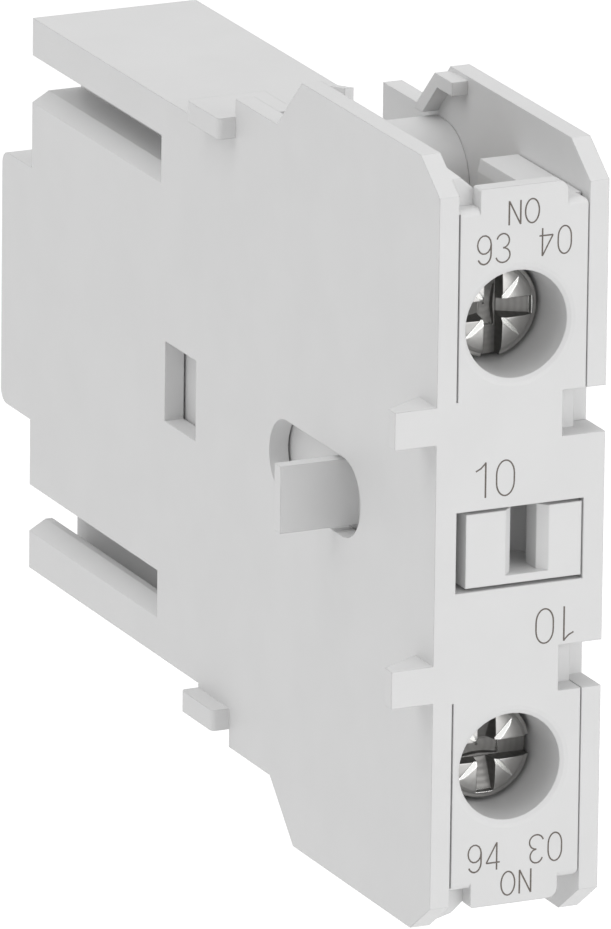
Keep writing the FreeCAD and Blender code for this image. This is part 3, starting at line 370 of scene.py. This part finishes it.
recessPaintedShade, facetPaintedHighlight = 1, 2          # material numbers in that list: the recess's painted shade and the facets' painted highlight


# Head and shank turned about the Y axis, in mm, with the head's top at y = 0.
def screwBody():
    s = screwSet
    root, shank, rim, head = s["rootRadius"], s["shankRadius"], s["headRadius"], s["headHeight"]
    profile = s["crown"] + [
        (rim, head - s["headEdge"]), (rim - s["headEdge"], head), (shank, head),
        (shank, head + s["neck"]), (root, s["threadFrom"]), (root, s["length"] - s["pointLength"]),
        (root - s["pointTaper"], s["length"]), (0, s["length"])]
    bm = bmesh.new()
    points = [bm.verts.new((r, y, 0)) for r, y in profile]
    lines = [bm.edges.new(pair) for pair in zip(points, points[1:])]
    bmesh.ops.spin(bm, geom=points + lines, cent=(0, 0, 0), axis=(0, 1, 0), angle=math.tau,
                   steps=s["steps"], use_merge=True)
    bmesh.ops.remove_doubles(bm, verts=bm.verts, dist=1e-5)
    bmesh.ops.recalc_face_normals(bm, faces=bm.faces)
    return bm


# Depth of the domed top at a radius.
def crownDepth(radius):
    crown = screwSet["crown"]
    for (inner, high), (outer, low) in zip(crown, crown[1:]):
        if radius <= outer:
            return high + (low - high) * (radius - inner) / (outer - inner)
    return crown[-1][1]


# A closed hull round the points, turned about the screw's axis.
def hullCutter(points, turn, material):
    bm = bmesh.new()
    made = bmesh.ops.convex_hull(bm, input=[bm.verts.new(p) for p in points])
    loose = [v for v in made["geom_interior"] if isinstance(v, bmesh.types.BMVert)]
    bmesh.ops.delete(bm, geom=loose, context="VERTS")
    bmesh.ops.rotate(bm, verts=bm.verts, cent=(0, 0, 0), matrix=Matrix.Rotation(turn, 3, "Y"))
    for face in bm.faces:
        face.material_index = material
    return bm


# One driver arm, from just past the middle outwards: its walls lean in and its floor rises.
def driverArm(reach, endDepth, mouthDepth, width, turn):
    s = screwSet
    half = width / 2
    floor = half * s["armTaper"]
    start, above = s["armStart"], -s["above"]
    profile = [(start, above, half), (start, 0, half), (reach, above, half), (reach, 0, half),
               (reach - s["armLean"], endDepth, half * s["armEndTaper"]),
               (half, mouthDepth, floor), (start, mouthDepth, floor)]
    points = [(x, y, z * hand) for x, y, z in profile for hand in (-1, 1)]
    # The arm's walls and floor get the darker steel, a painted shade in the recess.
    bm = hullCutter(points, 0, recessPaintedShade)
    bm.normal_update()
    for face in bm.faces:
        # End faces get the near-white steel, a painted highlight.
        if face.normal.x > s["endFacing"]:
            face.material_index = facetPaintedHighlight
    bmesh.ops.rotate(bm, verts=bm.verts, cent=(0, 0, 0), matrix=Matrix.Rotation(turn, 3, "Y"))
    return bm


# The four-sided point in the middle of the recess.
def middlePit(turn):
    s = screwSet
    half = s["pitHalf"]
    rim = [(half * a, s["armMouth"] - s["pitRise"], half * b) for a in (-1, 1) for b in (-1, 1)]
    # The pit gets the darker steel, a painted shade in the recess.
    return hullCutter(rim + [(0, s["pitDepth"], 0)], turn, recessPaintedShade)


# A shallow V groove that runs out to a point on the diagonal between two arms.
# near and far are how much its two walls spread for each mm of depth.
def tick(turn, near, far):
    s = screwSet
    root = (near - far) * s["tickShift"]
    points = []
    for radius, depth in ((s["tickStart"], s["tickDepth"]),
                          (s["tickReach"], crownDepth(s["tickReach"]))):
        height = depth + s["tickAbove"]
        points += [(radius, depth, root), (radius, depth - height, root - height * near),
                   (radius, depth - height, root + height * far)]
    # The groove's walls get the near-white steel, a painted highlight.
    return hullCutter(points, turn, facetPaintedHighlight)


# A closed V ridge wound along the shank.
def threadCoil():
    s = screwSet
    turns = (s["threadTo"] - s["threadFrom"]) / s["pitch"]
    root = s["rootRadius"] - s["threadSink"]
    half = s["pitch"] * s["threadShare"]
    bm = bmesh.new()
    section = ((root, s["threadFrom"] - half, 0), (s["shankRadius"], s["threadFrom"], 0),
               (root, s["threadFrom"] + half, 0))
    ring = bm.faces.new([bm.verts.new(point) for point in section])
    steps = int(turns * s["threadSteps"])
    bmesh.ops.spin(bm, geom=[ring], cent=(0, 0, 0), axis=(0, 1, 0), angle=turns * math.tau,
                   dvec=(0, turns * s["pitch"] / steps, 0), steps=steps)
    bmesh.ops.recalc_face_normals(bm, faces=bm.faces)
    return bm


# The ticks are cut first, then the pit, the slot and the arms.
def screwCutters(turn):
    s = screwSet
    cutters = [tick(math.pi / 4 + i * math.pi / 2, *walls)
               for i, walls in enumerate(s["tickWalls"])]
    cutters.append(middlePit(turn))
    across, wide = s["armWidth"] / 2, s["headRadius"] + s["slotPast"]
    slot = [(x * wide, y, z * across) for x in (-1, 1) for y in (-s["above"], s["slotDepth"])
            for z in (-1, 1)]
    # The slot gets the darker steel, a painted shade in the recess.
    cutters.append(hullCutter(slot, turn + math.pi / 2, recessPaintedShade))
    for opposite in (0, math.pi):
        cutters.append(driverArm(s["armReach"], s["armEnd"], s["armMouth"],
                                 s["armWidth"] * s["armSlack"], turn + opposite))
        cutters.append(driverArm(s["stepReach"], s["stepDepth"], s["stepDepth"] + s["stepFall"],
                                 s["armWidth"] * s["stepSlack"], turn + opposite + math.pi / 2))
    return cutters


def makeScrew(level, turn):
    low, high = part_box("terminal_screw_" + level)
    middle = Vector(((low.x + high.x) / 2, low.y, (low.z + high.z) / 2))
    steels = [screwSteel(name + level, middle, *values) for name, *values in screwSet["steels"]]
    bm = cutWith(screwBody(), screwCutters(turn), steels)
    thread = bpy.data.meshes.new("threadCoil")
    coil = threadCoil()
    coil.to_mesh(thread)
    coil.free()
    bm.from_mesh(thread)
    bmesh.ops.scale(bm, verts=bm.verts, vec=(mm, mm, mm))
    bmesh.ops.translate(bm, verts=bm.verts, vec=middle)
    piece = finishMesh(bm, "terminalScrew_" + level, steels, screwSet["sharpFrom"])
    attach(piece, "screw_" + level)
    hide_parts("terminal_screw_" + level)


for level, turn in (("upper", 0.0), ("lower", math.pi / 2)):
    makeScrew(level, turn)
print("screws cut and threaded")


# Coil springs: round drawn wire with closed end turns

springSet = {
    "wireSides": 10,
    "stepsPerTurn": 28,
    "closedRise": 1.05,       # climb of a closed end turn against the wire
    "closedLength": 3.1,      # what the two closed ends take of the length, against the wire
    "sharpFrom": 60.0,        # degrees
    "springs": [              # node, body, wire, open turns, joint and travel, end that stays
        ("contact_spring", "carrier", 0.4, 2.5, "bridge_slide", 1.42, "front"),
        ("return_spring", "housing", 0.45, 4.0, "carrier_slide", 4.0, "rear"),
    ],
}


def makeSpring(node, body, wire, openTurns, joint, travel, held):
    s = springSet
    low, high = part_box(node)
    length = (high.y - low.y) / mm
    coil = (high.x - low.x) / mm / 2 - wire / 2
    closed = wire * s["closedRise"]
    rise = length - wire * s["closedLength"]
    bm = bmesh.new()
    ring = bmesh.ops.create_circle(bm, segments=s["wireSides"], radius=wire / 2,
                                   matrix=Matrix.Translation((coil, wire / 2, 0)))
    section = ring["verts"] + list({edge for vert in ring["verts"] for edge in vert.link_edges})
    for turns, climb in ((1.0, closed), (openTurns, rise), (1.0, closed)):
        steps = round(turns * s["stepsPerTurn"])
        made = bmesh.ops.spin(bm, geom=section, cent=(0, 0, 0), axis=(0, 1, 0),
                              angle=turns * math.tau, dvec=(0, climb / steps, 0), steps=steps)
        section = made["geom_last"]
    bmesh.ops.remove_doubles(bm, verts=bm.verts, dist=1e-5)
    bmesh.ops.holes_fill(bm, edges=[edge for edge in bm.edges if edge.is_boundary])
    bmesh.ops.scale(bm, verts=bm.verts, vec=(mm, mm, mm))
    middle = Vector(((low.x + high.x) / 2, low.y, (low.z + high.z) / 2))
    bmesh.ops.translate(bm, verts=bm.verts, vec=middle)
    piece = finishMesh(bm, "coil_" + body, [metals["drawnWire"]], s["sharpFrom"])
    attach(piece, body)
    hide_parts(node)
    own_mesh(piece)


for spring in springSet["springs"]:
    makeSpring(*spring)
print("springs wound")


# Marks: plain terminal numbers in a single thin line, burnt into the front

markSet = {
    "line": 0.048,            # half the line's width, mm
    "proud": 0.012,           # how far the line stands out, mm
    "gap": 0.2,               # between letters, against their height
    "marks": [                # text, middle x and z, height, width factor, turned over
        ("NO", -0.01, 18.68, 1.34, 1.05, False),
        ("93", -1.78, 16.79, 1.6, 1.0, False),
        ("04", 1.85, 16.86, 1.55, 1.0, True),
        ("10", -1.5, 3.93, 1.98, 1.06, False),
        ("10", 2.2, -4.7, 1.94, 1.06, True),
        ("94", -1.81, -17.38, 1.55, 1.0, False),
        ("03", 1.86, -17.28, 1.6, 1.0, True),
        ("NO", 0.12, -19.02, 1.34, 1.05, True),
    ],
}


# Points on part of an ellipse, angles in degrees.
def bend(x, z, wide, high, start, stop, steps=14):
    turns = [math.radians(start + (stop - start) * i / steps) for i in range(steps + 1)]
    return [(x + wide * math.cos(a), z + high * math.sin(a)) for a in turns]


glyphs = {                    # width, and strokes in a box 1 high, each straight line on its own
    "0": (0.5, [bend(0.25, 0.61, 0.25, 0.39, 0, 180) + bend(0.25, 0.39, 0.25, 0.39, 180, 360)
                + [(0.5, 0.61)]]),
    "1": (0.39, [[(0.0, 0.77), (0.14, 0.84), (0.26, 0.96), (0.28, 1.0)],
                 [(0.28, 1.0), (0.28, 0.0)]]),
    "3": (0.5, [bend(0.24, 0.755, 0.23, 0.245, 165, -90),
                bend(0.24, 0.255, 0.26, 0.255, 90, -165)]),
    "4": (0.52, [[(0.4, 0.0), (0.4, 1.0)], [(0.4, 1.0), (0.0, 0.27)], [(0.0, 0.27), (0.52, 0.27)]]),
    "9": (0.5, [bend(0.25, 0.68, 0.25, 0.32, 0, 360),
                [(0.5, 0.68)] + bend(0.25, 0.34, 0.25, 0.34, 0, -150)]),
    "N": (0.48, [[(0.0, 0.0), (0.0, 1.0)], [(0.0, 1.0), (0.48, 0.0)], [(0.48, 0.0), (0.48, 1.0)]]),
    "O": (0.58, [bend(0.29, 0.5, 0.29, 0.5, 0, 360, 28)]),
}


def makeMark(index, text, x, z, height, stretch, over, ink):
    s = markSet
    curve = bpy.data.curves.new("mark", "CURVE")
    curve.dimensions = "3D"
    curve.bevel_depth = s["line"] / height
    curve.bevel_resolution = 1
    curve.use_fill_caps = True
    total = sum(glyphs[c][0] for c in text) + s["gap"] * (len(text) - 1)
    start = -total / 2
    for letter in text:
        for stroke in glyphs[letter][1]:
            spline = curve.splines.new("POLY")
            spline.points.add(len(stroke) - 1)
            for point, (u, v) in zip(spline.points, stroke):
                point.co = (start + u, 0, v - 0.5, 1)
        start += glyphs[letter][0] + s["gap"]
    holder = bpy.data.objects.new("mark", curve)
    bpy.context.scene.collection.objects.link(holder)
    bm = bmesh.new()
    bm.from_mesh(bpy.data.meshes.new_from_object(holder))
    bpy.data.objects.remove(holder)
    if over:
        bmesh.ops.rotate(bm, verts=bm.verts, cent=(0, 0, 0),
                         matrix=Matrix.Rotation(math.pi, 3, "Y"))
    flat = s["proud"] / s["line"]
    bmesh.ops.scale(bm, verts=bm.verts,
                    vec=(height * stretch * mm, height * flat * mm, height * mm))
    bmesh.ops.translate(bm, verts=bm.verts, vec=(x * mm, faceY, z * mm))
    piece = finishMesh(bm, "mark_%d" % index, [ink])
    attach(piece, "housing")


ink = laserInk("laserInk")
for index, (text, x, z, height, stretch, over) in enumerate(markSet["marks"]):
    makeMark(index, text, x, z, height, stretch, over, ink)
print("marks drawn")


# Studio: pale floor well below the part, soft lamps and an even world

studioSet = {
    "floorDrop": 45.0,        # mm below the part, which hangs by its rear rails
    "floorSize": 3.0,         # half its width, m
    "floorColour": "#FCFCFC",
    "floorLift": 0.3,         # added for the camera alone, so that the paper reads as white
    "world": 0.54,
    "aim": (0, -25, 0),       # mm, where the lamps point
    "lamps": [                # name, place mm, size mm, watts
        ("right", (330, -800, 140), 700, 2.71),
        ("left", (-600, 40, 660), 800, 1.82),
        ("top", (-60, -120, 860), 700, 1.73),
    ],
}


# 1 where the camera, a gloss ray or a transmission ray meets a surface, else 0.
def seenDirectly(tree):
    path = addNode(tree, "LightPath")
    either = addNode(tree, "Math", {"operation": "MAXIMUM"})
    tree.links.new(path.outputs["Is Camera Ray"], either.inputs[0])
    tree.links.new(path.outputs["Is Glossy Ray"], either.inputs[1])
    every = addNode(tree, "Math", {"operation": "MAXIMUM"})
    tree.links.new(either.outputs[0], every.inputs[0])
    tree.links.new(path.outputs["Is Transmission Ray"], every.inputs[1])
    return every.outputs[0]


def makeWorld():
    world = bpy.data.worlds.new("studioWorld")
    world.use_nodes = True
    tree = world.node_tree
    tree.nodes.clear()
    soft = addNode(tree, "Background",
                   values={"Color": (1, 1, 1, 1), "Strength": studioSet["world"]})
    white = addNode(tree, "Background", values={"Color": (1, 1, 1, 1), "Strength": 1.0})
    mix = addNode(tree, "MixShader", Fac=seenDirectly(tree))
    tree.links.new(soft.outputs[0], mix.inputs[1])
    tree.links.new(white.outputs[0], mix.inputs[2])
    addNode(tree, "OutputWorld", Surface=mix.outputs[0])
    bpy.context.scene.world = world


def makeFloor():
    bm = bmesh.new()
    bmesh.ops.create_grid(bm, x_segments=1, y_segments=1, size=studioSet["floorSize"])
    bmesh.ops.translate(bm, verts=bm.verts,
                        vec=(0, 0, cadBox[0][2] - studioSet["floorDrop"] * mm))
    material, tree = newMaterial("floorPaper")
    place = addNode(tree, "TexCoord").outputs["Object"]
    fibre = addNode(tree, "TexNoise", values={"Scale": 300.0}, Vector=place)
    bump = addNode(tree, "Bump", values={"Strength": 0.05, "Distance": 0.1 * mm},
                   Height=fibre.outputs["Fac"])
    paper = addNode(tree, "BsdfDiffuse", Normal=bump.outputs["Normal"],
                    values={"Color": linearColour(studioSet["floorColour"])})
    strength = addNode(tree, "Math", {"operation": "MULTIPLY"})
    tree.links.new(seenDirectly(tree), strength.inputs[0])
    strength.inputs[1].default_value = studioSet["floorLift"]
    lift = addNode(tree, "Emission", values={"Color": (1, 1, 1, 1)}, Strength=strength.outputs[0])
    both = addNode(tree, "AddShader")
    tree.links.new(paper.outputs[0], both.inputs[0])
    tree.links.new(lift.outputs[0], both.inputs[1])
    addNode(tree, "OutputMaterial", Surface=both.outputs[0])
    finishMesh(bm, "floor", [material])


def makeLamps():
    target = Vector(studioSet["aim"]) * mm
    for name, place, size, watts in studioSet["lamps"]:
        data = bpy.data.lights.new(name, "AREA")
        data.shape = "DISK"
        data.size = size * mm
        data.energy = watts
        lamp = bpy.data.objects.new(name, data)
        spot = Vector(place) * mm
        turn = (target - spot).to_track_quat("-Z", "Y").to_matrix().to_4x4()
        lamp.matrix_world = Matrix.Translation(spot) @ turn
        bpy.context.scene.collection.objects.link(lamp)


makeWorld()
makeFloor()
makeLamps()
print("studio lit")
